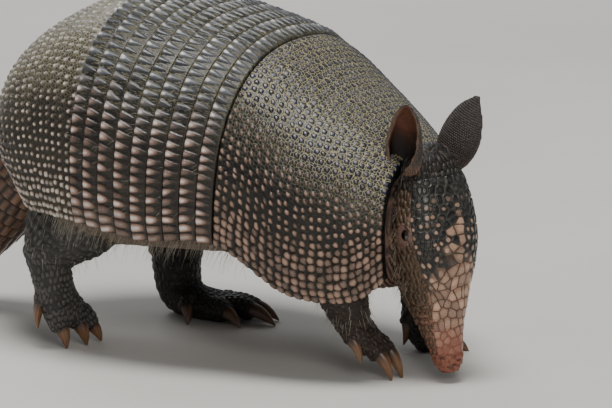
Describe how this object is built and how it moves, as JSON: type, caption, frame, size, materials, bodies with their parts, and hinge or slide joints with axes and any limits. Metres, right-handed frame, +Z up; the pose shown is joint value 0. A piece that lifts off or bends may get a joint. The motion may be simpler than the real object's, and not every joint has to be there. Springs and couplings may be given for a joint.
{
  "type": "nine-banded armadillo model",
  "caption": "Life-size armadillo model, walking with its snout down: banded bony shell, plated head, upright ears, clawed feet and a long ringed tail.",
  "frame": {"origin": "centre of the bounding box at floor level", "axes": "+X towards the head, +Y to the animal's left, +Z up"},
  "size_m": [0.5357, 0.1639, 0.1791],
  "materials": {
    "shell": "satin",
    "skin": "matte",
    "claw": "satin",
    "eye": "gloss"
  },
  "bodies": {
    "root": {"scapular_shield": "shell", "band_1": "shell", "band_2": "shell", "band_3": "shell", "band_4": "shell", "band_5": "shell", "band_6": "shell", "band_7": "shell", "band_8": "shell", "band_9": "shell", "pelvic_shield": "shell", "head_shield": "shell", "trunk": "skin", "neck": "skin", "head": "skin", "ear_left": "skin", "ear_right": "skin", "tail_1": "skin", "tail_2": "skin", "tail_3": "skin", "tail_4": "skin", "tail_5": "skin", "leg_fore_right": "skin", "leg_fore_left": "skin", "leg_hind_right": "skin", "leg_hind_left": "skin", "foot_fore_right": "skin", "foot_fore_left": "skin", "foot_hind_right": "skin", "foot_hind_left": "skin", "claw_fore_right_1": "claw", "claw_fore_right_2": "claw", "claw_fore_right_3": "claw", "claw_fore_right_4": "claw", "claw_fore_left_1": "claw", "claw_fore_left_2": "claw", "claw_fore_left_3": "claw", "claw_fore_left_4": "claw", "claw_hind_right_1": "claw", "claw_hind_right_2": "claw", "claw_hind_right_3": "claw", "claw_hind_right_4": "claw", "claw_hind_right_5": "claw", "claw_hind_left_1": "claw", "claw_hind_left_2": "claw", "claw_hind_left_3": "claw", "claw_hind_left_4": "claw", "claw_hind_left_5": "claw", "eye_left": "eye", "eye_right": "eye"}
  },
  "joints": []
}
